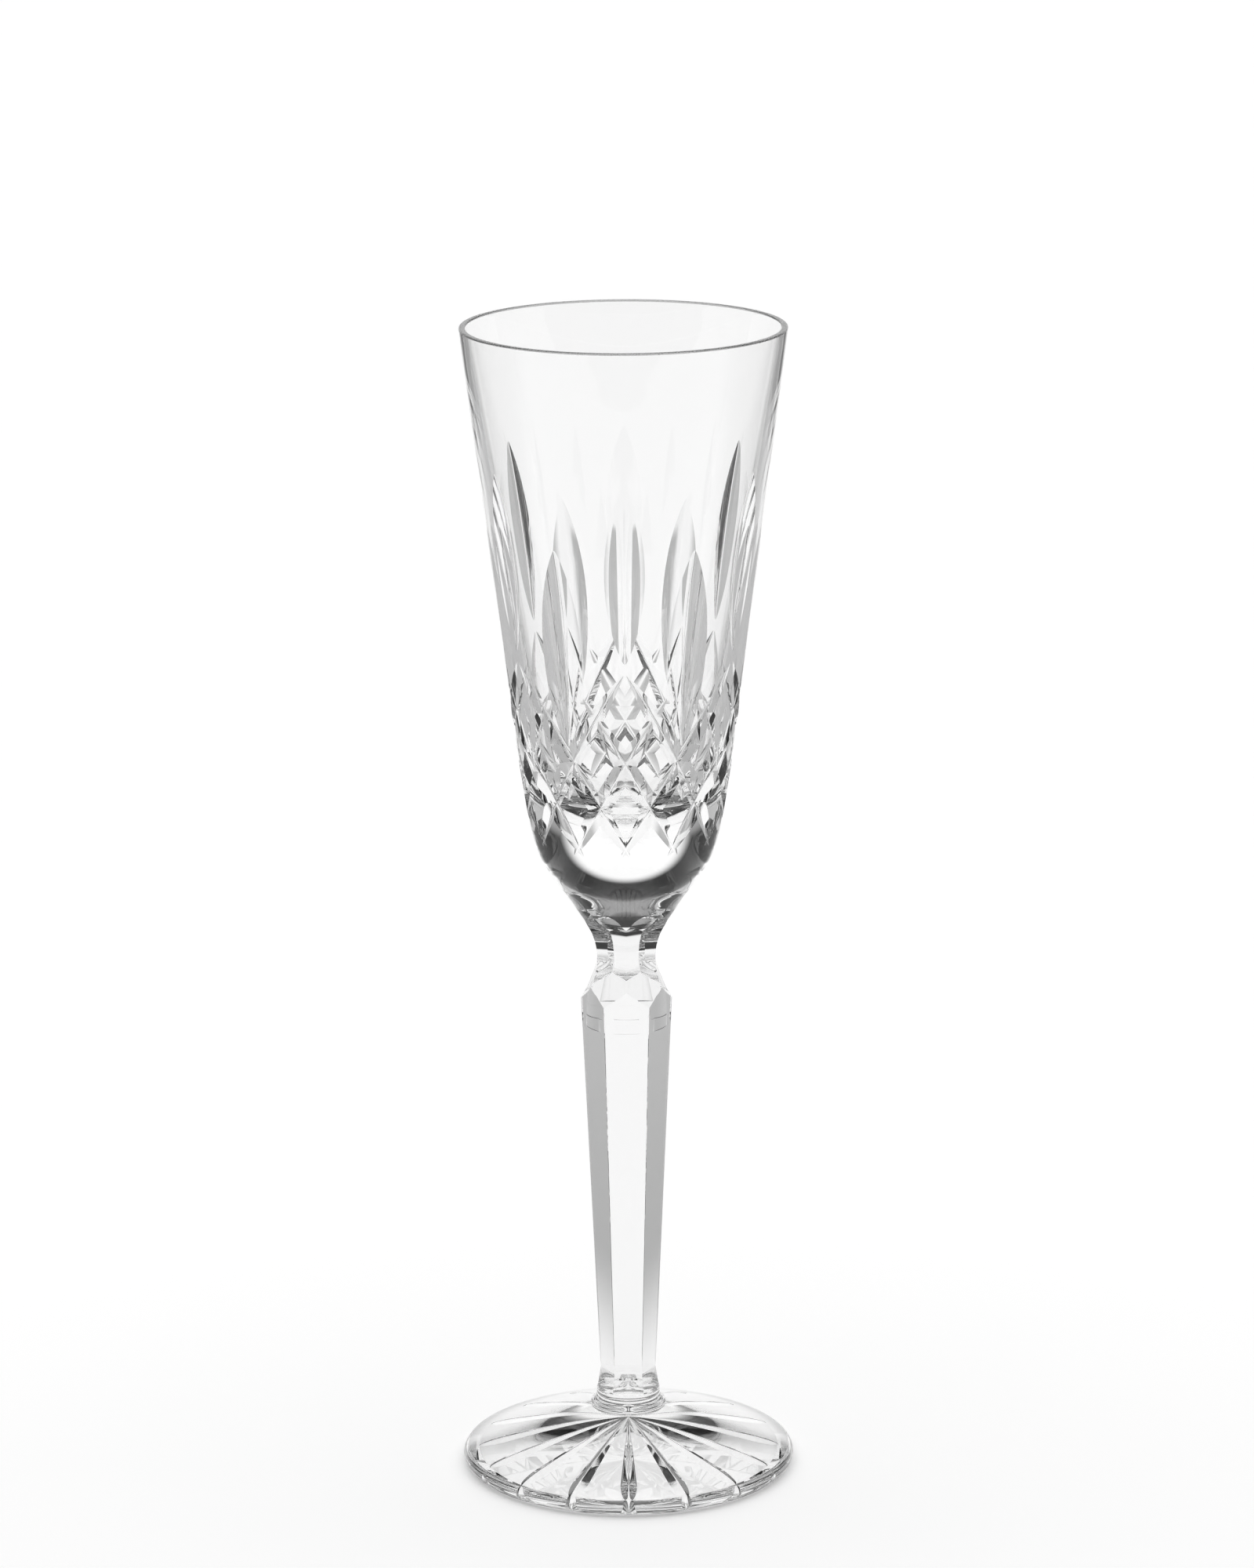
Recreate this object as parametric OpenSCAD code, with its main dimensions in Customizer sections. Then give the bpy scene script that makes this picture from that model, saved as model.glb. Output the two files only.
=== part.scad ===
// Cut-crystal champagne flute: bowl, stem, button and foot, each its own gather of glass.
// The axis of the glass is Z and the foot stands on z = 0. Azimuth 0 is towards -Y.

/* [Overall] */
// Height of the glass
glass_h = 226; // [220:1:232]
// Outer diameter of the rim
rim_d = 62; // [60:0.5:66]
// Thickness of the glass at the rim
rim_wall = 1.2; // [1:0.1:1.6]

/* [Bowl] */
// Height of the joint between bowl and stem
bowl_base_z = 113.5; // [112:0.5:115]
// Diameter of the bowl where it meets the stem
bowl_base_d = 20.2; // [19:0.1:21]
// Height at which the straight cone turns into the rounded lower body
shoulder_z = 157.5; // [154:0.5:160]
// How much the outer radius grows for each millimetre of height in the cone
cone_slope = 0.125; // [0.11:0.005:0.14]
// Thickness of the glass at the shoulder, measured level
shoulder_wall = 3.5; // [3:0.1:4]
// Height of the inside bottom of the bowl
cavity_z = 131; // [127:0.5:133]

/* [Cuts on the bowl] */
// Height of the top of the long leaf above each arch
long_leaf_top_z = 201; // [195:1:205]
// Height of the bottom of the long leaf
long_leaf_low_z = 165.5; // [164:0.5:168]
// Depth of the long leaf at its middle
long_leaf_depth = 1.5; // [0.8:0.1:1.7]
// Height of the top of the short leaf in each valley
short_leaf_top_z = 188; // [184:1:192]
// Height of the bottom of the short leaf
short_leaf_low_z = 148; // [146:0.5:150]
// Depth of the short leaf at its middle
short_leaf_depth = 1.7; // [0.8:0.1:1.8]
// Slope of the two flanks of a leaf cut, in degrees
leaf_slope = 18; // [14:1:24]
// Height where two arch lines cross at the top
arch_top_z = 164.4; // [162:0.2:167]
// Height where the side lines of the lattice start, just outside the arches
side_line_top_z = 159.4; // [157:0.2:161]
// Height of the lattice lines half way along
arch_mid_z = 145; // [143:0.5:147]
// Height where the lattice lines end
arch_low_z = 126.5; // [125:0.5:128]
// Depth of a lattice line at its middle
line_depth = 1.4; // [0.8:0.1:1.6]
// Slope of the two flanks of a lattice line, in degrees
line_slope = 38; // [36:1:44]

/* [Stem] */
// Height of the narrowest place of the neck
neck_z = 103.4; // [102:0.2:105]
// Distance between opposite scoops at the narrowest place
neck_flats = 11.2; // [10:0.2:12]
// Radius of the wheel that scoops the neck
scoop_r = 13.6; // [13:0.2:15]
// Distance between opposite corners of the shaft at its top
shaft_top_d = 17.6; // [16:0.2:18]
// Distance between opposite corners of the shaft near its foot
shaft_low_d = 10.8; // [10:0.2:12]

/* [Foot] */
// Diameter of the foot
foot_d = 65; // [62:0.5:68]
// Height of the foot at its middle
foot_h = 11; // [10:0.5:12]
// Thickness of the rounded edge of the foot
foot_edge = 3.2; // [2.5:0.1:4]
// How high the hollow under the foot rises at its middle
foot_hollow = 5; // [3:0.5:6]
// Number of rays in the star
rays = 16; // [12:2:20]
// Distance from the axis to the tip of a ray
ray_r = 27.5; // [24:0.5:29]
// Depth of a ray near its outer end
ray_depth = 1.4; // [0.8:0.1:2]

/* [Hidden] */
$fn = 96;

rim_r = rim_d / 2;
bowl_base_r = bowl_base_d / 2;
shoulder_r = rim_r - cone_slope * (glass_h - shoulder_z);
rim_round = rim_wall / 2;
foot_r = foot_d / 2;

// The cut pattern repeats this often around the bowl, and the shaft has as many sides.
repeats = 6;
sector = 360 / repeats;

// How far around the bowl a lattice line has turned at its middle and at its end.
line_mid_turn = 31;
line_turn = 64;
// Where a side line starts, in degrees from the middle of a short leaf.
side_line_turn = 9;
// The second family of lattice lines is cut this much shallower.
line_step = 0.1;
// Depth of a lattice line half way to its deepest place, as a share of that depth.
mid_share = 0.75;

// Heights on the stem: the top and the foot of the tapered shaft, and the top of the button.
shaft_top_z = 94.6;
shaft_low_z = 19;
button_top_z = 15;
// How much wider the shaft flares between its foot and the button.
shaft_flare = 1.2;
// Round glass left above the scoops: its radius, and how far below the neck it starts.
neck_blank_r = bowl_base_r - 2.2;
neck_blank_drop = 14;
// Bevel between the joint and the round glass.
collar_in = 1.4;
collar_drop = 2.5;

// Radius of the button, and of its rounded side.
button_r = 7.4;
button_round = 0.8;
// Radius of the foot's cone where it meets the button.
foot_top_r = button_r - button_round;
// Slope of the flanks of a ray, in degrees, and where a ray starts and is widest.
ray_slope = 42;
ray_inner_r = 1.5;
ray_wide_r = ray_r - 4;
// The hollow under the foot ends at this radius, inside the flat ring that the glass stands on.
hollow_r = foot_r - 3.9;
crystal = [0.86, 0.89, 0.91, 0.55];

// Points of a cubic curve from a to d that leaves towards b and arrives from c.
function curve(a, b, c, d, steps) = [
    for (i = [0 : steps])
        let (t = i / steps, u = 1 - t)
        u * u * u * a + 3 * u * u * t * b + 3 * u * t * t * c + t * t * t * d
];

// Outer outline from the shoulder down to the joint with the stem.
shoulder_pull = 39;
base_pull = [7.3, 11.3];
function outer_curve(steps) = curve(
    [shoulder_r, shoulder_z],
    [shoulder_r, shoulder_z] - shoulder_pull * [cone_slope, 1],
    [bowl_base_r, bowl_base_z] + base_pull,
    [bowl_base_r, bowl_base_z],
    steps);

// Inner outline from the shoulder down to the axis.
cavity_shoulder = [shoulder_r - shoulder_wall, shoulder_z];
cavity_pull = [1.5, 16];
cavity_round_r = 14;
function inner_curve(steps) = curve(
    cavity_shoulder,
    cavity_shoulder - cavity_pull,
    [cavity_round_r, cavity_z],
    [0, cavity_z],
    steps);

// Radius of the outside at height z: the cone, or the curve below the shoulder.
function outer_r(z) = z > shoulder_z
    ? rim_r - cone_slope * (glass_h - z)
    : lookup(z, [for (p = outer_curve(24)) [p[1], p[0]]]);

// A point on the outside at an azimuth and height, sunk inwards by a depth.
function on_bowl(azimuth, z, sunk = 0) =
    let (r = outer_r(z) - sunk)
    [r * sin(azimuth), -r * cos(azimuth), z];

// Centre of the circle through three points.
function circle_centre(a, b, c) =
    let (p = b - a, q = c - a, n = cross(p, q))
    a + (cross(n, p) * (q * q) + cross(q, n) * (p * p)) / (2 * n * n);

// Cuts a V-shaped groove whose bottom is the arc from a through m to b.
// The arc runs on a disc when it bulges into the glass, and on a ring when it goes around it.
module v_cut(a, m, b, slope) {
    reach = 3.5;
    centre = circle_centre(a, m, b);
    radius = norm(a - centre);
    axis = cross(m - a, b - a);
    tilt = acos(axis[2] / norm(axis));
    turn = atan2(axis[1], axis[0]);
    spoke = m - centre;
    start = atan2(spoke * [-sin(turn), cos(turn), 0],
                  spoke * [cos(tilt) * cos(turn), cos(tilt) * sin(turn), -sin(tilt)]);
    span = 2 * asin(norm(b - a) / 2 / radius) + 2;
    is_disc = spoke * [m[0], m[1], 0] < 0;
    side = is_disc ? -reach : reach;
    half_w = reach / tan(slope);
    translate(centre)
        rotate([0, tilt, turn])
            rotate([0, 0, start - span / 2])
                rotate_extrude(angle = span, $fn = 360)
                    polygon([[radius, 0], [radius + side, half_w], [radius + side, -half_w]]);
}

// Points along an arc, from one angle to another.
function arc(centre, radius, from, to, steps) = [
    for (i = [0 : steps])
        let (angle = from + (to - from) * i / steps)
        centre + radius * [cos(angle), sin(angle)]
];

module bowl_blank() {
    rim_centre = [rim_r - rim_round, glass_h - rim_round];
    rotate_extrude()
        polygon(concat(
            [[0, bowl_base_z]],
            [for (i = [12 : -1 : 0]) outer_curve(12)[i]],
            arc(rim_centre, rim_round, 0, 180, 8),
            inner_curve(10)));
}

module leaf_cuts() {
    for (k = [0 : repeats - 1]) {
        peak = k * sector;
        valley = (k + 0.5) * sector;
        v_cut(on_bowl(peak, long_leaf_top_z),
              on_bowl(peak, (long_leaf_top_z + long_leaf_low_z) / 2, long_leaf_depth),
              on_bowl(peak, long_leaf_low_z), leaf_slope);
        v_cut(on_bowl(valley, short_leaf_top_z),
              on_bowl(valley, (short_leaf_top_z + short_leaf_low_z) / 2, short_leaf_depth),
              on_bowl(valley, short_leaf_low_z), leaf_slope);
    }
}

// A V-shaped groove along one arc, between two points given as [azimuth, height, depth].
// Its middle lies straight outside the chord, so that the wheel stands upright on the surface.
module line_cut(from, to) {
    a = on_bowl(from[0], from[1], from[2]);
    b = on_bowl(to[0], to[1], to[2]);
    mid = (a + b) / 2;
    depth = max(from[2], to[2]) * mid_share;
    v_cut(a, on_bowl(atan2(mid[0], -mid[1]), mid[2], depth), b, line_slope);
}

// Half of the diamond lattice: the lines that lean one way (hand 1) or the other (hand -1).
// Each line is two arcs that meet at its deepest place.
module lattice_cuts(hand, depth) {
    for (k = [0 : repeats - 1]) {
        peak = k * sector;
        between = peak + sector / 2;
        for (start = [[peak, arch_top_z], [between + hand * side_line_turn, side_line_top_z]]) {
            base = start[1] == arch_top_z ? peak : between;
            deepest = [base + hand * line_mid_turn, arch_mid_z, depth];
            line_cut([start[0], start[1], 0], deepest);
            line_cut(deepest, [base + hand * line_turn, arch_low_z, 0]);
        }
    }
}

module bowl() {
    color(crystal)
        difference() {
            difference() {
                difference() {
                    bowl_blank();
                    lattice_cuts(1, line_depth);
                }
                lattice_cuts(-1, line_depth - line_step);
            }
            leaf_cuts();
        }
}

// Six-sided tapered bar whose corners point to azimuth 30, 90 and so on.
module hex_taper(z0, d0, z1, d1) {
    corners = [for (k = [0 : 5]) [cos(60 * k), sin(60 * k)]];
    polyhedron(
        points = concat(
            [for (c = corners) [c[0] * d0 / 2, c[1] * d0 / 2, z0]],
            [for (c = corners) [c[0] * d1 / 2, c[1] * d1 / 2, z1]]),
        faces = concat(
            [[0, 1, 2, 3, 4, 5], [11, 10, 9, 8, 7, 6]],
            [for (k = [0 : 5]) [k, k + 6, (k + 1) % 6 + 6, (k + 1) % 6]]));
}

module stem() {
    blank_low_z = neck_z - neck_blank_drop;
    taper = (shaft_top_d - shaft_low_d) / (shaft_top_z - shaft_low_z);
    color(crystal)
        difference() {
            union() {
                rotate_extrude()
                    polygon([[0, blank_low_z], [0, bowl_base_z], [bowl_base_r, bowl_base_z],
                             [bowl_base_r - collar_in, bowl_base_z - collar_drop],
                             [neck_blank_r, neck_z], [neck_blank_r, blank_low_z]]);
                hex_taper(shaft_low_z, shaft_low_d,
                          neck_z, shaft_low_d + taper * (neck_z - shaft_low_z));
                hex_taper(button_top_z, shaft_low_d + shaft_flare, shaft_low_z, shaft_low_d);
            }
            for (k = [0 : repeats - 1])
                rotate([0, 0, k * sector])
                    translate([neck_flats / 2 + scoop_r, 0, neck_z])
                        rotate([90, 0, 0])
                            cylinder(h = 4 * bowl_base_r, r = scoop_r, center = true);
        }
}

module foot_button() {
    bulge_centre = [foot_top_r, foot_h + button_round];
    shelf_r = button_r - 1.3;
    shelf_z = button_top_z - 0.8;
    top_r = button_r - 1.7;
    color(crystal)
        rotate_extrude()
            polygon(concat(
                [[0, foot_h]],
                arc(bulge_centre, button_round, -90, 30, 6),
                [[shelf_r, shelf_z], [top_r, button_top_z], [0, button_top_z]]));
}

// Height of the hollow under the foot at a distance from the axis.
function hollow_z(r) = foot_hollow * (1 - r / hollow_r);

// A groove in the hollow: a V that widens outwards and ends in a point.
module ray_cut() {
    inner_w = 0.2;
    wide_w = ray_depth / tan(ray_slope);
    below = 0.5;
    spread = below / tan(ray_slope);
    tip_r = ray_r + 1.2;
    inner_z = hollow_z(ray_inner_r);
    wide_z = hollow_z(ray_wide_r);
    polyhedron(
        points = [
            [ray_inner_r, -inner_w - spread, inner_z - below],
            [ray_inner_r, inner_w + spread, inner_z - below],
            [ray_inner_r, 0, inner_z + inner_w * tan(ray_slope)],
            [ray_wide_r, -wide_w - spread, wide_z - below],
            [ray_wide_r, wide_w + spread, wide_z - below],
            [ray_wide_r, 0, wide_z + ray_depth],
            [tip_r, 0, hollow_z(tip_r) - below]],
        faces = [[0, 1, 2], [0, 3, 6, 4, 1], [0, 2, 5, 3], [1, 4, 5, 2], [3, 5, 6], [4, 6, 5]]);
}

module foot() {
    edge_r = foot_edge / 2;
    edge_centre = [foot_r - edge_r, edge_r];
    color(crystal)
        difference() {
            rotate_extrude()
                polygon(concat(
                    [[0, foot_hollow], [hollow_r, 0]],
                    arc(edge_centre, edge_r, -90, 72, 9),
                    [[foot_top_r, foot_h], [0, foot_h]]));
            for (k = [0 : rays - 1])
                rotate([0, 0, k * 360 / rays])
                    ray_cut();
        }
}

bowl();
stem();
foot_button();
foot();
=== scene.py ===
import math

import bpy
import numpy as np
from mathutils import Matrix, Vector


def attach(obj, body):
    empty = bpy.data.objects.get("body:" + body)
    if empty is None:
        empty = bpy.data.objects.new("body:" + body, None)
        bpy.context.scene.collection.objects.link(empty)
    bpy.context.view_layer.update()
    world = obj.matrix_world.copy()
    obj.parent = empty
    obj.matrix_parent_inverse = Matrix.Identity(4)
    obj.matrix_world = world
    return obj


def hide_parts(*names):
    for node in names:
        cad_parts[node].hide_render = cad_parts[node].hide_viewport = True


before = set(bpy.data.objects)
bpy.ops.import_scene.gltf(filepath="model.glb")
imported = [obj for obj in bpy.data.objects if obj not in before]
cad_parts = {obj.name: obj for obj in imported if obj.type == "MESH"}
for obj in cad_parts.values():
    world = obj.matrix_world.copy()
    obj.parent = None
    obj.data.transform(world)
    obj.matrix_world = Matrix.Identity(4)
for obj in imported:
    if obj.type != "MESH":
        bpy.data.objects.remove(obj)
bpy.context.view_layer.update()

# A cut crystal champagne flute on a pale floor. Lengths are in millimetres, as in the design, up to the
# stage. Meshes are scaled to metres when they are made. Angles are in degrees.
MM = 0.001

# Whole glass
GLASS_H = 226.0
RIM_R = 31.0
RIM_WALL = 1.2
RIM_EDGE = 0.3

# Bowl. A pull is the offset of a curve's handle from its end, and the shoulder's is counted in height.
BOWL_BASE_Z = 113.5
BOWL_BASE_R = 10.1
SHOULDER_Z = 157.5
CONE_SLOPE = 0.125
SHOULDER_WALL = 3.5
SHOULDER_PULL = 39.0
BASE_PULL = (7.3, 11.3)
CAVITY_Z = 131.0
CAVITY_PULL = (1.5, 16.0)
CAVITY_ROUND_R = 14.0
SHOULDER_R = RIM_R - CONE_SLOPE * (GLASS_H - SHOULDER_Z)

# Cuts on the bowl. A leaf is its top, its low end and its depth. A slope is the angle between the flank
# of a groove and the surface, a round is the half width of its rounded bottom, and a turn is an angle
# around the bowl. The fade is a power: the higher it is, the later a line grows shallow. A cutter reaches
# that far up from the bottom of its groove, and its path overruns the cut, counted in half lengths.
REPEATS = 6
SECTOR = 360.0 / REPEATS
LONG_LEAF = (201.0, 165.5, 1.5)
SHORT_LEAF = (188.0, 148.0, 1.7)
LEAF_SLOPE = 18.0
LEAF_ROUND = 0.25
ARCH_TOP_Z = 164.4
SIDE_LINE_TOP_Z = 159.4
ARCH_MID_Z = 145.0
ARCH_LOW_Z = 126.5
LINE_MID_TURN = 31.0
LINE_TURN = 64.0
SIDE_LINE_TURN = 9.0
LINE_DEPTH = 1.5
LINE_SLOPE = 36.0
LINE_ROUND = 0.12
LINE_FADE = 2.5
CUT_REACH = 3.5
CUT_OVERRUN = 1.04

# Stem
NECK_Z = 103.4
NECK_FLATS = 11.2
SCOOP_R = 13.6
SHAFT_TOP_Z = 94.6
SHAFT_TOP_R = 8.8
SHAFT_LOW_Z = 19.0
SHAFT_LOW_R = 5.4
SHAFT_FOOT_R = 6.0
NECK_BLANK_IN = 2.2
NECK_BLANK_R = BOWL_BASE_R - NECK_BLANK_IN
NECK_BLANK_DROP = 14.0
COLLAR_IN = 1.4
COLLAR_DROP = 2.5

# Button
BUTTON_TOP_Z = 15.0
BUTTON_R = 7.4
BUTTON_ROUND = 0.8
BUTTON_ROUND_END = 60.0
BUTTON_TOP_R = 6.15
BUTTON_PULL = (-0.7, 0.4)
BUTTON_RISE = 1.2

# Foot, with the star in the hollow under it
FOOT_R = 32.5
FOOT_H = 11.0
FOOT_EDGE = 3.2
FOOT_EDGE_END = 72.0
FOOT_TOP_R = BUTTON_R - BUTTON_ROUND
RAYS = 16
FOOT_HOLLOW = 5.0
FOOT_MARGIN = 3.9
HOLLOW_R = FOOT_R - FOOT_MARGIN
RAY_INNER_R = 0.6
RAY_WIDE_R = 23.5
RAY_TIP_R = 28.7
RAY_DEPTH = 1.4
RAY_FIRST_DEPTH = 0.05
RAY_ROUND = 0.12
RAY_SLOPE = 42.0

# Fineness of the meshes. The last row gives the places of points across the bottom of a groove, counted
# in its round.
SEGMENTS = 288
BUTTON_SEGMENTS = 192
OUTER_STEPS = 64
INNER_STEPS = 72
CONE_STEPS = 24
RIM_STEPS = 12
FOOT_EDGE_STEPS = 24
BUTTON_STEPS = (16, 20)
SCOOP_STEPS = 180
LEAF_POINTS = 49
LINE_POINTS = 81
RAY_POINTS = (16, 13)
LOOKUP_STEPS = 96
FLARE_STEP = 0.2
ON_AXIS = 1e-6
GROOVE_BOTTOM = (0.4, 0.8, 1.3, 2.0, 3.2, 5.0)

# Glass. The noise that drives the polish and the rim's grain is used between the two values of its band.
GLASS_IOR = 1.545
WAVE_DETAIL = 1.0
POLISH_DETAIL = 3.0
POLISH_SIZE = 0.3
POLISH_BAND = (0.45, 0.75)
TINT_SPREAD = 0.01
# The rim's greys are painted shade, which makes the rim line dark. Its haze comes from the grinding.
RIM_PAINTED_SHADE_TONES = (0.22, 0.34)
RIM_GRAIN = 0.4
RIM_DETAIL = 2.0
RIM_BAND = (0.3, 0.7)
RIM_HAZE = (0.2, 0.4)

# Stage, in metres. Lights are brightnesses beside white paper. Heights and sides on the sky are sines.
# A pair is the start and the end of a soft step, except that the cover is the values before and after one
# and the backdrop's half is half a width and half a height.
FLOOR_HALF = 30.0
FLOOR_Z = -0.0001
FLOOR_MATT = 0.8
FLOOR_GLOW = 0.27
# Painted light: the floor glows brighter under the foot, in place of the light that the glass gathers there.
PAINTED_FOOT_LIGHT = 0.88
PAINTED_FOOT_LIGHT_R = (0.027, 0.033)
LAMP_LIGHT = 2.6
LAMP_ANGLE = 100.0
LAMP_LEAN = 22.0
LANE_HALF = 0.024
LANE_SPREAD = 0.26
CLOTH_EDGE = 0.06
CLOTH_COVER = (0.56, 0.5)
CLOTH_THIN = (0.1, 0.3)
CLOTH_ENDS = (2.1, 2.4)
CLOTH_FRONT = (-0.15, 0.0)
CLOTH_BACK = (1.2, 1.5)
CLOTH_Z = 0.001
CLOTH_GREY = 0.01
BACKDROP_HALF = (0.53, 0.325)
BACKDROP_EDGE = (0.6, 1.2)
BACKDROP_LIGHT = 1.05
SKYLINE_HEIGHTS = (0.01, 0.06)
SKYLINE_LIGHT = 0.3
ROOM_LIGHT = 0.01
TOP_HEIGHTS = (0.6, 0.85)
TOP_LIGHT = 0.28

# Camera. Its place is in millimetres.
CAMERA_LENS = 131.6
CAMERA_SENSOR = 36.0
CAMERA_PLACE = (0.3, -1066.0, 405.9)
CAMERA_DOWN = 14.15
CAMERA_ROLL = -0.27

# How often light may bounce
GLASS_BOUNCES = 40
MIRROR_BOUNCES = 24
CLEAR_BOUNCES = 24

# Kinds of surface, which are also the material slots of a piece.
CLEAR, FUSED, GROUND = 0, 1, 2
NORMAL = "glass_normal"


# ---------------------------------------------------------------- outlines

def bezier(a, b, c, d, steps):
    """Points of a cubic curve from a to d that leaves towards b and arrives from c."""
    t = np.linspace(0.0, 1.0, steps + 1)[:, None]
    u = 1.0 - t
    a, b, c, d = (np.array(p, float) for p in (a, b, c, d))
    return u ** 3 * a + 3 * u * u * t * b + 3 * u * t * t * c + t ** 3 * d


def line(a, b, steps=1):
    """Points along a straight line."""
    t = np.linspace(0.0, 1.0, steps + 1)[:, None]
    return np.array(a, float) * (1.0 - t) + np.array(b, float) * t


def arc(centre, radius, start, end, steps):
    """Points along a circular arc, angles in degrees."""
    t = np.radians(np.linspace(start, end, steps + 1))
    return np.array(centre, float) + radius * np.stack([np.cos(t), np.sin(t)], axis=1)


def outer_curve(steps):
    """The outside of the bowl from the shoulder down to the joint."""
    top = np.array([SHOULDER_R, SHOULDER_Z])
    low = np.array([BOWL_BASE_R, BOWL_BASE_Z])
    pull = SHOULDER_PULL * np.array([CONE_SLOPE, 1.0])
    return bezier(top, top - pull, low + np.array(BASE_PULL), low, steps)


def inner_curve(steps):
    """The inside of the bowl from the shoulder down to the axis."""
    top = np.array([SHOULDER_R - SHOULDER_WALL, SHOULDER_Z])
    return bezier(top, top - np.array(CAVITY_PULL), (CAVITY_ROUND_R, CAVITY_Z), (0.0, CAVITY_Z), steps)


def outer_radius(z):
    """Radius of the outside of the bowl at height z."""
    if z > SHOULDER_Z:
        return RIM_R - CONE_SLOPE * (GLASS_H - z)
    points = outer_curve(LOOKUP_STEPS)[::-1]
    return float(np.interp(z, points[:, 1], points[:, 0]))


# ---------------------------------------------------------------- meshes

class Solid:
    """A closed mesh under construction, with the true surface normal kept at each face corner."""

    def __init__(self):
        self.points = []
        self.faces = []
        self.normals = []
        self.kinds = []

    def point(self, position):
        """Adds a point and gives its number."""
        self.points.append(tuple(position))
        return len(self.points) - 1

    def face(self, corners, normals, kind=CLEAR):
        """Adds a face with the true normal at each of its corners."""
        self.faces.append(tuple(corners))
        self.normals.extend(tuple(n) for n in normals)
        self.kinds.append(kind)

    def make(self, name, *mats):
        """Makes the object, with one material for each kind of surface it has."""
        mesh = bpy.data.meshes.new(name)
        mesh.from_pydata([tuple(MM * v for v in p) for p in self.points], [], self.faces)
        for mat in mats:
            mesh.materials.append(mat)
        mesh.polygons.foreach_set("material_index", self.kinds)
        kept = mesh.attributes.new(NORMAL, "FLOAT_VECTOR", "CORNER")
        kept.data.foreach_set("vector", np.array(self.normals, np.float32).ravel())
        thing = bpy.data.objects.new(name, mesh)
        bpy.context.scene.collection.objects.link(thing)
        return thing


def revolve(strips, segments=SEGMENTS):
    """A solid of revolution. Each strip is (points, kind): a smooth stretch of the outline, drawn with the
    glass on its left."""
    solid = Solid()
    angles = np.arange(segments) * 2 * math.pi / segments
    spokes = np.stack([np.cos(angles), np.sin(angles)], axis=1)
    previous = None
    for points, kind in strips:
        slope = np.gradient(points, axis=0, edge_order=2 if len(points) > 2 else 1)
        slope /= np.linalg.norm(slope, axis=1)[:, None]
        across = np.stack([slope[:, 1], -slope[:, 0]], axis=1)
        rings = []
        for k, (r, z) in enumerate(points):
            if k == 0 and previous is not None:
                rings.append(previous)
            elif r < ON_AXIS:
                rings.append([solid.point((0.0, 0.0, z))] * segments)
            else:
                rings.append([solid.point((r * x, r * y, z)) for x, y in spokes])
        previous = rings[-1]
        for k in range(len(points) - 1):
            low, high = rings[k], rings[k + 1]
            for j in range(segments):
                i = (j + 1) % segments
                corners = [low[j], low[i], high[i], high[j]]
                turns = [(k, j), (k, i), (k + 1, i), (k + 1, j)]
                normals = [(across[m][0] * spokes[n][0], across[m][0] * spokes[n][1], across[m][1])
                           for m, n in turns]
                if low[j] == low[i]:
                    corners, normals = corners[1:], normals[1:]
                elif high[j] == high[i]:
                    corners, normals = corners[:3], normals[:3]
                solid.face(corners, normals, kind)
    return solid


def groove(points, normals, depths, slope, rounding):
    """The solid that a V-edged wheel removes as it runs along a path on the glass. The V stands upright on
    the surface, its bottom is slightly rounded, and its depth is given at each point of the path."""
    rise = math.tan(math.radians(slope))
    half = CUT_REACH / rise
    near = rounding * np.array(GROOVE_BOTTOM)
    side = np.concatenate([near, [half]])
    across = np.concatenate([-side[::-1], [0.0], side])
    height = rise * np.sqrt(across ** 2 + rounding ** 2)
    lean = rise * across / np.sqrt(across ** 2 + rounding ** 2)
    ahead = np.gradient(points, axis=0)
    ahead /= np.linalg.norm(ahead, axis=1)[:, None]
    level = np.cross(normals, ahead)
    level /= np.linalg.norm(level, axis=1)[:, None]
    up = np.cross(ahead, level)
    bottom = points - depths[:, None] * up
    grid = bottom[:, None] + across[:, None] * level[:, None] + height[:, None] * up[:, None]
    facing = np.cross(np.gradient(grid, axis=0), level[:, None] + lean[:, None] * up[:, None])
    facing /= np.linalg.norm(facing, axis=2)[:, :, None]
    solid = Solid()
    rows = [[solid.point(p) for p in row] for row in grid]
    count = len(across)
    for s in range(len(rows) - 1):
        for k in range(count):
            m = (k + 1) % count
            corners = [(s, k), (s, m), (s + 1, m), (s + 1, k)]
            solid.face([rows[i][j] for i, j in corners], [facing[i][j] for i, j in corners])
    solid.face(rows[0][::-1], facing[0][::-1])
    solid.face(rows[-1], facing[-1])
    return solid.make("cutter")


def carve(blank, cutters, operation="DIFFERENCE"):
    """Applies the cutters to the blank, one after another, and removes them."""
    for cutter in cutters:
        step = blank.modifiers.new("cut", "BOOLEAN")
        step.operation = operation
        step.solver = "MANIFOLD"
        step.object = cutter
    bpy.context.view_layer.update()
    shaped = bpy.data.meshes.new_from_object(blank.evaluated_get(bpy.context.evaluated_depsgraph_get()))
    shaped.name = blank.name
    blank.modifiers.clear()
    blank.data = shaped
    for cutter in cutters:
        bpy.data.objects.remove(cutter)
    return blank


def settle_normals(thing):
    """Turns the kept surface normals into the mesh's own normals."""
    mesh = thing.data
    normals = np.empty(len(mesh.loops) * 3, np.float32)
    mesh.attributes[NORMAL].data.foreach_get("vector", normals)
    mesh.polygons.foreach_set("use_smooth", [True] * len(mesh.polygons))
    mesh.normals_split_custom_set(normals.reshape(-1, 3).tolist())
    mesh.attributes.remove(mesh.attributes[NORMAL])
    mesh.update()


# ---------------------------------------------------------------- the four pieces of glass

def on_bowl(azimuth, z):
    """A point on the outside of the bowl."""
    r = outer_radius(z)
    turn = math.radians(azimuth)
    return r * math.sin(turn), -r * math.cos(turn), z


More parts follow.
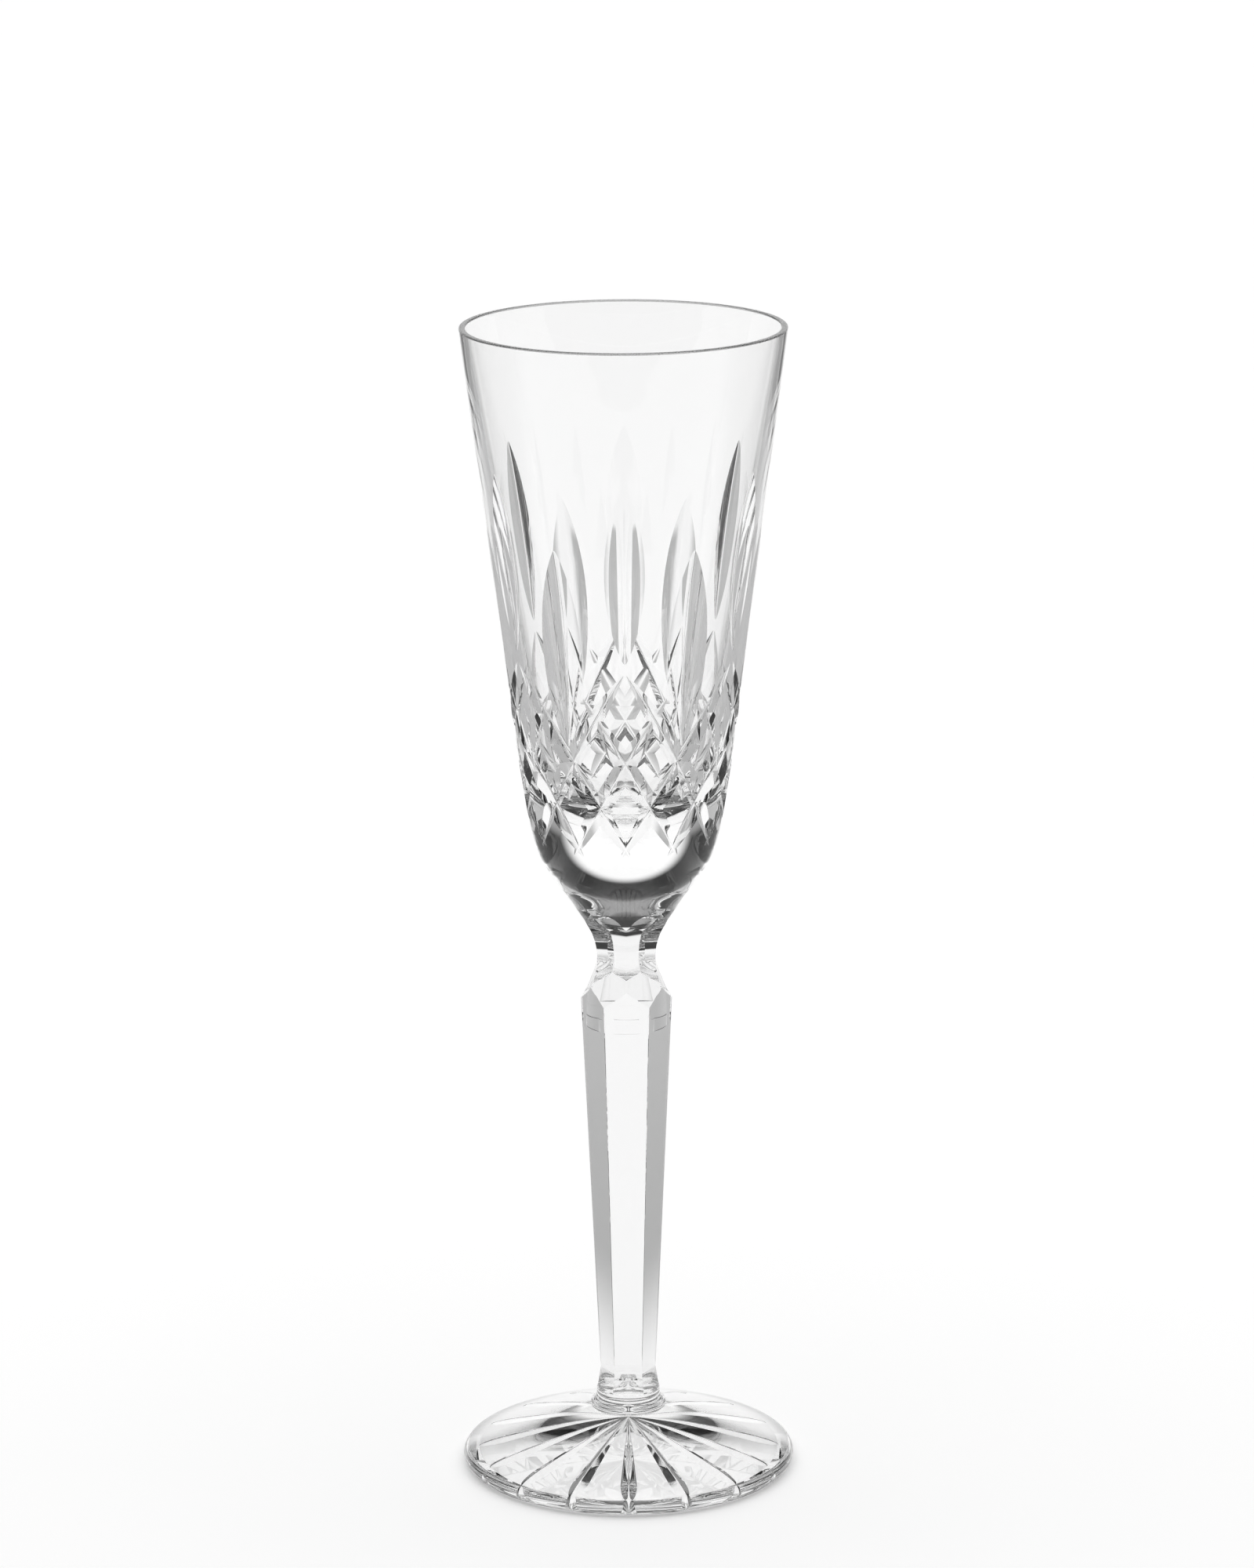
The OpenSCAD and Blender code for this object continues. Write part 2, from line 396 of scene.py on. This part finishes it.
def facing_out(azimuth, z):
    """The outward direction of the bowl's surface."""
    flare = (outer_radius(z + FLARE_STEP) - outer_radius(z - FLARE_STEP)) / (2 * FLARE_STEP)
    turn = math.radians(azimuth)
    return math.sin(turn), -math.cos(turn), -flare


def bowl_groove(turns, heights, depths, slope, rounding):
    """A groove cutter along a path on the outside of the bowl."""
    points = np.array([on_bowl(a, z) for a, z in zip(turns, heights)])
    normals = np.array([facing_out(a, z) for a, z in zip(turns, heights)])
    return groove(points, normals, depths, slope, rounding)


def leaf_cutter(azimuth, leaf):
    """An upright leaf: a V groove that runs down the bowl and dies out at both ends."""
    top, low, depth = leaf
    along = np.linspace(-CUT_OVERRUN, CUT_OVERRUN, LEAF_POINTS)
    heights = (top + low) / 2 - along * (top - low) / 2
    depths = depth * (1.0 - along ** 2)
    return bowl_groove(np.full(len(along), azimuth), heights, depths, LEAF_SLOPE, LEAF_ROUND)


def lattice_cutter(azimuth, hand, first_turn, first_z):
    """One line of the diamonds, which turns around the bowl as it runs down."""
    along = np.linspace(-CUT_OVERRUN, CUT_OVERRUN, LINE_POINTS)
    bend = np.polyfit([first_turn, LINE_MID_TURN, LINE_TURN], [first_z, ARCH_MID_Z, ARCH_LOW_Z], 2)
    turns = first_turn + (LINE_TURN - first_turn) * (along + 1.0) / 2
    depths = LINE_DEPTH * (1.0 - np.abs(along) ** LINE_FADE)
    return bowl_groove(azimuth + hand * turns, np.polyval(bend, turns), depths, LINE_SLOPE, LINE_ROUND)


def make_bowl(mat, joint):
    """The bowl with its leaves and diamonds, from the joint with the stem up to the ground rim."""
    edge_z = GLASS_H - RIM_EDGE
    cone_angle = math.degrees(math.atan(CONE_SLOPE))
    outer = outer_curve(OUTER_STEPS)[::-1]
    outer_edge = arc((RIM_R - RIM_EDGE, edge_z), RIM_EDGE, -cone_angle, 90.0, RIM_STEPS)
    inner_edge = arc((RIM_R - RIM_WALL + RIM_EDGE, edge_z), RIM_EDGE, 90.0, 180.0, RIM_STEPS)
    inner = inner_curve(INNER_STEPS)
    strips = [
        (line((0.0, BOWL_BASE_Z), outer[0]), FUSED),
        (outer, CLEAR),
        (line(outer[-1], outer_edge[0], CONE_STEPS), CLEAR),
        (outer_edge, GROUND),
        (line(outer_edge[-1], inner_edge[0]), GROUND),
        (inner_edge, GROUND),
        (line(inner_edge[-1], inner[0], CONE_STEPS), CLEAR),
        (inner, CLEAR),
    ]
    bowl = revolve(strips).make("crystal_bowl", mat, joint, ground_rim_with_painted_shade())
    cutters = []
    for k in range(REPEATS):
        peak = k * SECTOR
        between = peak + SECTOR / 2
        cutters.append(leaf_cutter(peak, LONG_LEAF))
        cutters.append(leaf_cutter(between, SHORT_LEAF))
        for hand in (1, -1):
            cutters.append(lattice_cutter(peak, hand, 0.0, ARCH_TOP_Z))
            cutters.append(lattice_cutter(between, hand, SIDE_LINE_TURN, SIDE_LINE_TOP_Z))
    return carve(bowl, cutters)


def hex_bar(levels, kinds):
    """A six-sided bar through rings at (z, corner radius). Its first corner lies on the x axis. The kinds are
    those of its low and its high end."""
    solid = Solid()
    angles = [math.radians(SECTOR * k) for k in range(REPEATS)]
    rings = [[solid.point((r * math.cos(a), r * math.sin(a), z)) for a in angles] for z, r in levels]
    for k in range(len(levels) - 1):
        (z0, r0), (z1, r1) = levels[k], levels[k + 1]
        fall = (r0 - r1) * math.cos(math.radians(SECTOR / 2)) / (z1 - z0)
        for j in range(REPEATS):
            i = (j + 1) % REPEATS
            middle = math.radians(SECTOR * (j + 0.5))
            out = Vector((math.cos(middle), math.sin(middle), fall)).normalized()
            solid.face([rings[k][j], rings[k][i], rings[k + 1][i], rings[k + 1][j]], [out] * 4)
    solid.face(rings[0][::-1], [(0.0, 0.0, -1.0)] * REPEATS, kinds[0])
    solid.face(rings[-1], [(0.0, 0.0, 1.0)] * REPEATS, kinds[1])
    return solid


def scoop_cutter(azimuth):
    """A cylinder lying level, which hollows one side of the neck."""
    solid = Solid()
    turn = math.radians(azimuth)
    out = np.array([math.cos(turn), math.sin(turn), 0.0])
    level = np.array([-math.sin(turn), math.cos(turn), 0.0])
    up = np.array([0.0, 0.0, 1.0])
    centre = out * (NECK_FLATS / 2 + SCOOP_R) + up * NECK_Z
    half = 2 * BOWL_BASE_R
    rows = []
    facing = []
    for a in np.linspace(0.0, 2 * math.pi, SCOOP_STEPS, endpoint=False):
        spoke = math.cos(a) * out + math.sin(a) * up
        facing.append(-spoke)
        rows.append([solid.point(centre + SCOOP_R * spoke + s * half * level) for s in (-1, 1)])
    for k in range(SCOOP_STEPS):
        m = (k + 1) % SCOOP_STEPS
        solid.face([rows[k][0], rows[k][1], rows[m][1], rows[m][0]],
                   [facing[k], facing[k], facing[m], facing[m]])
    solid.face([r[0] for r in rows], [level] * SCOOP_STEPS)
    solid.face([r[1] for r in rows][::-1], [-level] * SCOOP_STEPS)
    return solid.make("scoop")


def make_stem(mat, joint):
    """The six-sided tapered shaft joined to the round neck, whose sides are hollowed by six scoops."""
    low_z = NECK_Z - NECK_BLANK_DROP
    taper = (SHAFT_TOP_R - SHAFT_LOW_R) / (SHAFT_TOP_Z - SHAFT_LOW_Z)
    neck = revolve([
        (line((0.0, low_z), (NECK_BLANK_R, low_z)), CLEAR),
        (line((NECK_BLANK_R, low_z), (NECK_BLANK_R, NECK_Z)), CLEAR),
        (line((NECK_BLANK_R, NECK_Z), (BOWL_BASE_R - COLLAR_IN, BOWL_BASE_Z - COLLAR_DROP)), CLEAR),
        (line((BOWL_BASE_R - COLLAR_IN, BOWL_BASE_Z - COLLAR_DROP), (BOWL_BASE_R, BOWL_BASE_Z)), CLEAR),
        (line((BOWL_BASE_R, BOWL_BASE_Z), (0.0, BOWL_BASE_Z)), FUSED),
    ]).make("neck", mat, joint)
    levels = [(BUTTON_TOP_Z, SHAFT_FOOT_R), (SHAFT_LOW_Z, SHAFT_LOW_R),
              (NECK_Z, SHAFT_LOW_R + taper * (NECK_Z - SHAFT_LOW_Z))]
    stem = hex_bar(levels, (FUSED, CLEAR)).make("cut_stem", mat, joint)
    carve(stem, [neck], "UNION")
    return carve(stem, [scoop_cutter(k * SECTOR) for k in range(REPEATS)])


def make_button(mat, joint):
    """The round wafer between the shaft and the foot."""
    round_steps, shoulder_steps = BUTTON_STEPS
    round_centre = (FOOT_TOP_R, FOOT_H + BUTTON_ROUND)
    bulge = arc(round_centre, BUTTON_ROUND, -90.0, BUTTON_ROUND_END, round_steps)
    top = (BUTTON_TOP_R, BUTTON_TOP_Z)
    below_top = (BUTTON_TOP_R, BUTTON_TOP_Z - BUTTON_RISE)
    shoulder = bezier(bulge[-1], bulge[-1] + np.array(BUTTON_PULL), below_top, top, shoulder_steps)
    return revolve([
        (line((0.0, FOOT_H), bulge[0]), FUSED),
        (bulge, CLEAR),
        (shoulder, CLEAR),
        (line(shoulder[-1], (SHAFT_FOOT_R, BUTTON_TOP_Z)), CLEAR),
        (line((SHAFT_FOOT_R, BUTTON_TOP_Z), (0.0, BUTTON_TOP_Z)), FUSED),
    ], BUTTON_SEGMENTS).make("fused_button", mat, joint)


def hollow_z(radii):
    """Height of the hollow under the foot at some distances from the axis."""
    return FOOT_HOLLOW * (1.0 - radii / HOLLOW_R)


def ray_cutter(azimuth):
    """A groove in the hollow under the foot: a V that widens outwards and ends in a point."""
    opening_points, closing_points = RAY_POINTS
    opening = np.linspace(RAY_INNER_R, RAY_WIDE_R, opening_points)
    quarter = np.linspace(0, math.pi / 2, closing_points)[1:]
    closing = RAY_WIDE_R + (RAY_TIP_R - RAY_WIDE_R) * np.sin(quarter)
    radii = np.concatenate([opening, closing])
    grow = (radii - RAY_INNER_R) / (RAY_WIDE_R - RAY_INNER_R)
    close = np.clip((radii - RAY_WIDE_R) / (RAY_TIP_R - RAY_WIDE_R), 0.0, 1.0)
    opened = RAY_FIRST_DEPTH + (RAY_DEPTH - RAY_FIRST_DEPTH) * np.minimum(grow, 1.0)
    depths = opened * np.sqrt(1.0 - close ** 2)
    turn = math.radians(azimuth)
    out = np.array([math.cos(turn), math.sin(turn), 0.0])
    up = np.array([0.0, 0.0, 1.0])
    points = radii[:, None] * out + hollow_z(radii)[:, None] * up
    normals = np.tile(-up - FOOT_HOLLOW / HOLLOW_R * out, (len(radii), 1))
    normals /= np.linalg.norm(normals, axis=1)[:, None]
    return groove(points, normals, depths, RAY_SLOPE, RAY_ROUND)


def make_foot(mat, joint):
    """The conical foot with its rounded edge, hollow underneath, and the star cut into the hollow."""
    edge_r = FOOT_EDGE / 2
    edge = arc((FOOT_R - edge_r, edge_r), edge_r, -90.0, FOOT_EDGE_END, FOOT_EDGE_STEPS)
    foot = revolve([
        (line((0.0, FOOT_HOLLOW), (HOLLOW_R, 0.0), CONE_STEPS), CLEAR),
        (line((HOLLOW_R, 0.0), edge[0]), CLEAR),
        (edge, CLEAR),
        (line(edge[-1], (FOOT_TOP_R, FOOT_H), CONE_STEPS), CLEAR),
        (line((FOOT_TOP_R, FOOT_H), (0.0, FOOT_H)), FUSED),
    ]).make("star_foot", mat, joint)
    return carve(foot, [ray_cutter(k * 360.0 / RAYS - 90.0) for k in range(RAYS)])


# ---------------------------------------------------------------- materials

def new_material(name):
    """A new material, with its nodes and its links."""
    mat = bpy.data.materials.new(name)
    mat.use_nodes = True
    return mat, mat.node_tree.nodes, mat.node_tree.links


def glass_shader(nodes):
    """The main shader of a new material, set to clear glass."""
    shader = nodes["Principled BSDF"]
    shader.inputs["Transmission Weight"].default_value = 1.0
    shader.inputs["IOR"].default_value = GLASS_IOR
    return shader


def noise(nodes, links, place, size, detail):
    """Noise whose features have a size in millimetres."""
    cloud = nodes.new("ShaderNodeTexNoise")
    cloud.inputs["Scale"].default_value = 1.0 / (size * MM)
    cloud.inputs["Detail"].default_value = detail
    links.new(place.outputs["Object"], cloud.inputs["Vector"])
    return cloud.outputs["Fac"]


def greys(nodes, links, source, tones):
    """Greys from the first tone to the second, driven by a socket."""
    ramp = nodes.new("ShaderNodeValToRGB")
    for stop, share in zip(ramp.color_ramp.elements, tones):
        stop.color = (share, share, share, 1.0)
    links.new(source, ramp.inputs["Fac"])
    return ramp.outputs["Color"]


def crystal(name, wave_size, wave_height, haze, clearness):
    """Clear polished crystal with the faint waves and the faint uneven polish of hand-made glass. The size
    and the height of the waves are in millimetres. Clearness is the lightest grey of its base colour, and
    it is lower on pieces of thick glass, which take more of the light."""
    mat, nodes, links = new_material(name)
    shader = glass_shader(nodes)
    place = nodes.new("ShaderNodeTexCoord")

    waves = noise(nodes, links, place, wave_size, WAVE_DETAIL)
    bump = nodes.new("ShaderNodeBump")
    bump.inputs["Strength"].default_value = 1.0
    bump.inputs["Distance"].default_value = wave_height * MM
    links.new(waves, bump.inputs["Height"])
    links.new(bump.outputs["Normal"], shader.inputs["Normal"])

    polish = noise(nodes, links, place, POLISH_SIZE * wave_size, POLISH_DETAIL)
    rough = nodes.new("ShaderNodeMapRange")
    rough.inputs["From Min"].default_value = POLISH_BAND[0]
    rough.inputs["From Max"].default_value = POLISH_BAND[1]
    rough.inputs["To Max"].default_value = haze
    links.new(polish, rough.inputs["Value"])
    links.new(rough.outputs["Result"], shader.inputs["Roughness"])

    tint = greys(nodes, links, waves, (clearness - TINT_SPREAD, clearness))
    links.new(tint, shader.inputs["Base Color"])
    return mat


def ground_rim_with_painted_shade():
    """The rim is ground level and only half polished, so it is a little hazy. Its greys are painted shade,
    which makes the rim line dark.
    """
    mat, nodes, links = new_material("ground_rim_with_painted_shade")
    shader = glass_shader(nodes)
    place = nodes.new("ShaderNodeTexCoord")
    grain = noise(nodes, links, place, RIM_GRAIN, RIM_DETAIL)
    haze = ease(nodes, links, grain, *RIM_BAND, *RIM_HAZE)
    links.new(haze, shader.inputs["Roughness"])
    # Painted shade: the dark greys of the rim's colour make the rim line dark.
    links.new(greys(nodes, links, grain, RIM_PAINTED_SHADE_TONES), shader.inputs["Base Color"])
    return mat


def fused_joint():
    """Where two gathers of glass are fused there is no surface, so light passes straight through."""
    mat, nodes, links = new_material("fused_joint")
    nodes.remove(nodes["Principled BSDF"])
    clear = nodes.new("ShaderNodeBsdfTransparent")
    links.new(clear.outputs[0], nodes["Material Output"].inputs["Surface"])
    return mat


# ---------------------------------------------------------------- stage

def ease(nodes, links, source, start, end, first=1.0, last=0.0):
    """A smooth step of the source from one value to another."""
    step = nodes.new("ShaderNodeMapRange")
    step.interpolation_type = "SMOOTHSTEP"
    step.inputs["From Min"].default_value = start
    step.inputs["From Max"].default_value = end
    step.inputs["To Min"].default_value = first
    step.inputs["To Max"].default_value = last
    links.new(source, step.inputs["Value"])
    return step.outputs["Result"]


def maths(nodes, links, operation, a, b=None):
    """One Math node. Each input is a socket or a number."""
    node = nodes.new("ShaderNodeMath")
    node.operation = operation
    for k, value in enumerate((a, b)):
        if value is None:
            continue
        if isinstance(value, (int, float)):
            node.inputs[k].default_value = value
        else:
            links.new(value, node.inputs[k])
    return node.outputs[0]


def squared_share(nodes, links, source, half):
    """The square of a socket's value, counted in units of half."""
    return maths(nodes, links, "POWER", maths(nodes, links, "DIVIDE", source, half), 2.0)


def flat_sheet(name, across, along, z, mat):
    """A level rectangle of the stage, from its ends in x and in y."""
    corners = [(x, y, z) for x, y in zip((across[0], across[1], across[1], across[0]),
                                         (along[0], along[0], along[1], along[1]))]
    mesh = bpy.data.meshes.new(name)
    mesh.from_pydata(corners, [], [(0, 1, 2, 3)])
    mesh.materials.append(mat)
    sheet = bpy.data.objects.new(name, mesh)
    bpy.context.scene.collection.objects.link(sheet)
    return sheet


def make_floor():
    """A pale floor that glows a little, so that it stays plain white around the soft shadow. Under the foot
    it
    glows more: a painted pool of light, which stands in for the light that the glass gathers there."""
    mat, nodes, links = new_material("pale_floor")
    nodes.remove(nodes["Principled BSDF"])
    matt = nodes.new("ShaderNodeBsdfDiffuse")
    matt.inputs["Color"].default_value = (FLOOR_MATT, FLOOR_MATT, FLOOR_MATT, 1.0)
    place = nodes.new("ShaderNodeTexCoord")
    reach = nodes.new("ShaderNodeVectorMath")
    reach.operation = "LENGTH"
    links.new(place.outputs["Object"], reach.inputs[0])
    glow = nodes.new("ShaderNodeEmission")
    # Painted pool of light under the foot, in place of the light that the glass gathers there.
    painted_foot_pool = ease(nodes, links, reach.outputs["Value"], *PAINTED_FOOT_LIGHT_R, PAINTED_FOOT_LIGHT, FLOOR_GLOW)
    links.new(painted_foot_pool, glow.inputs["Strength"])
    both = nodes.new("ShaderNodeAddShader")
    links.new(matt.outputs[0], both.inputs[0])
    links.new(glow.outputs[0], both.inputs[1])
    links.new(both.outputs[0], nodes["Material Output"].inputs["Surface"])
    flat_sheet("floor", (-FLOOR_HALF, FLOOR_HALF), (-FLOOR_HALF, FLOOR_HALF), FLOOR_Z, mat)


def make_cloth():
    """Thin dark cloth lying just above the floor on both sides of a white lane that widens away from the
    camera. The camera doesn't see it. Seen through the glass it draws the dark edges of the facets."""
    mat, nodes, links = new_material("grey_cloth")
    nodes.remove(nodes["Principled BSDF"])
    place = nodes.new("ShaderNodeTexCoord")
    split = nodes.new("ShaderNodeSeparateXYZ")
    links.new(place.outputs["Object"], split.inputs[0])
    side = maths(nodes, links, "ABSOLUTE", split.outputs["X"])
    back = split.outputs["Y"]
    lane = maths(nodes, links, "MULTIPLY", maths(nodes, links, "MAXIMUM", back, 0.0), LANE_SPREAD)
    beyond = maths(nodes, links, "SUBTRACT", side, lane)
    cover = ease(nodes, links, side, *CLOTH_THIN, *CLOTH_COVER)
    for limit in (ease(nodes, links, beyond, LANE_HALF, LANE_HALF + CLOTH_EDGE, 0.0, 1.0),
                  ease(nodes, links, side, *CLOTH_ENDS),
                  ease(nodes, links, back, *CLOTH_FRONT, 0.0, 1.0),
                  ease(nodes, links, back, *CLOTH_BACK)):
        cover = maths(nodes, links, "MULTIPLY", cover, limit)
    dark = nodes.new("ShaderNodeEmission")
    dark.inputs["Strength"].default_value = CLOTH_GREY
    clear = nodes.new("ShaderNodeBsdfTransparent")
    mix = nodes.new("ShaderNodeMixShader")
    links.new(cover, mix.inputs[0])
    links.new(clear.outputs[0], mix.inputs[1])
    links.new(dark.outputs[0], mix.inputs[2])
    links.new(mix.outputs[0], nodes["Material Output"].inputs["Surface"])
    for side_ends in ((-CLOTH_ENDS[1], -LANE_HALF), (LANE_HALF, CLOTH_ENDS[1])):
        cloth = flat_sheet("side_cloth", side_ends, (CLOTH_FRONT[0], CLOTH_BACK[1]), CLOTH_Z, mat)
        cloth.visible_camera = False
        cloth.visible_diffuse = False
        cloth.visible_shadow = False


def make_lamp():
    """A very soft lamp above and a little behind the glass, which makes the shadow on the floor. The glass
    doesn't show it."""
    data = bpy.data.lights.new("soft_lamp", "SUN")
    data.energy = LAMP_LIGHT
    data.angle = math.radians(LAMP_ANGLE)
    lamp = bpy.data.objects.new("soft_lamp", data)
    bpy.context.scene.collection.objects.link(lamp)
    lamp.rotation_euler = (math.radians(-LAMP_LEAN), 0.0, 0.0)
    lamp.visible_camera = False
    lamp.visible_glossy = False
    lamp.visible_transmission = False


def make_world():
    """A dim room with a bright backdrop low behind the glass and a large soft light overhead. The camera
    itself sees plain white."""
    world = bpy.data.worlds.new("studio")
    bpy.context.scene.world = world
    world.use_nodes = True
    nodes, links = world.node_tree.nodes, world.node_tree.links
    place = nodes.new("ShaderNodeTexCoord")
    split = nodes.new("ShaderNodeSeparateXYZ")
    links.new(place.outputs["Generated"], split.inputs[0])
    rise = split.outputs["Z"]
    behind = maths(nodes, links, "GREATER_THAN", split.outputs["Y"], 0.0)
    wide = squared_share(nodes, links, split.outputs["X"], BACKDROP_HALF[0])
    tall = squared_share(nodes, links, rise, BACKDROP_HALF[1])
    reach = maths(nodes, links, "ADD", wide, tall)
    spot = ease(nodes, links, reach, *BACKDROP_EDGE, BACKDROP_LIGHT, 0.0)
    drop = maths(nodes, links, "MULTIPLY", spot, behind)
    skyline = ease(nodes, links, rise, *SKYLINE_HEIGHTS, SKYLINE_LIGHT, ROOM_LIGHT)
    low = maths(nodes, links, "MAXIMUM", drop, skyline)
    high = ease(nodes, links, rise, *TOP_HEIGHTS, 0.0, TOP_LIGHT)
    light = maths(nodes, links, "ADD", low, high)
    path = nodes.new("ShaderNodeLightPath")
    seen = maths(nodes, links, "MAXIMUM", light, path.outputs["Is Camera Ray"])
    links.new(seen, nodes["Background"].inputs["Strength"])
    nodes["Background"].inputs["Color"].default_value = (1.0, 1.0, 1.0, 1.0)


def make_camera():
    """The camera looks a little down on the glass from the front."""
    data = bpy.data.cameras.new("camera")
    data.lens = CAMERA_LENS
    data.sensor_width = CAMERA_SENSOR
    camera = bpy.data.objects.new("camera", data)
    bpy.context.scene.collection.objects.link(camera)
    camera.location = [MM * v for v in CAMERA_PLACE]
    pitch = math.radians(90.0 - CAMERA_DOWN)
    roll = math.radians(CAMERA_ROLL)
    camera.rotation_mode = "QUATERNION"
    turned = Matrix.Rotation(pitch, 4, "X") @ Matrix.Rotation(roll, 4, "Z")
    camera.rotation_quaternion = turned.to_quaternion()
    bpy.context.scene.camera = camera


def set_light_paths():
    """Deep cuts need many bounces before the light finds its way out. Colours are shown as they are."""
    cycles = bpy.context.scene.cycles
    cycles.max_bounces = GLASS_BOUNCES
    cycles.transmission_bounces = GLASS_BOUNCES
    cycles.glossy_bounces = MIRROR_BOUNCES
    cycles.transparent_max_bounces = CLEAR_BOUNCES
    bpy.context.scene.view_settings.view_transform = "Standard"


# ---------------------------------------------------------------- assembly

fused = fused_joint()
blown = crystal("blown_crystal", wave_size=14.0, wave_height=0.02, haze=0.012, clearness=0.995)
cut = crystal("cut_crystal", wave_size=9.0, wave_height=0.01, haze=0.012, clearness=0.93)
pinched = crystal("pinched_crystal", wave_size=4.0, wave_height=0.02, haze=0.015, clearness=0.94)
spun = crystal("spun_crystal", wave_size=10.0, wave_height=0.015, haze=0.012, clearness=0.96)
pieces = [
    (make_bowl, "bowl", "bowl_crystal", blown),
    (make_stem, "stem", "stem_crystal", cut),
    (make_button, "foot_button", "button_crystal", pinched),
    (make_foot, "foot", "foot_crystal", spun),
]
for make, node, slot, glass in pieces:
    piece = make(glass, fused)
    settle_normals(piece)
    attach(piece, "root")
    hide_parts(node)

make_floor()
make_cloth()
make_lamp()
make_world()
make_camera()
set_light_paths()
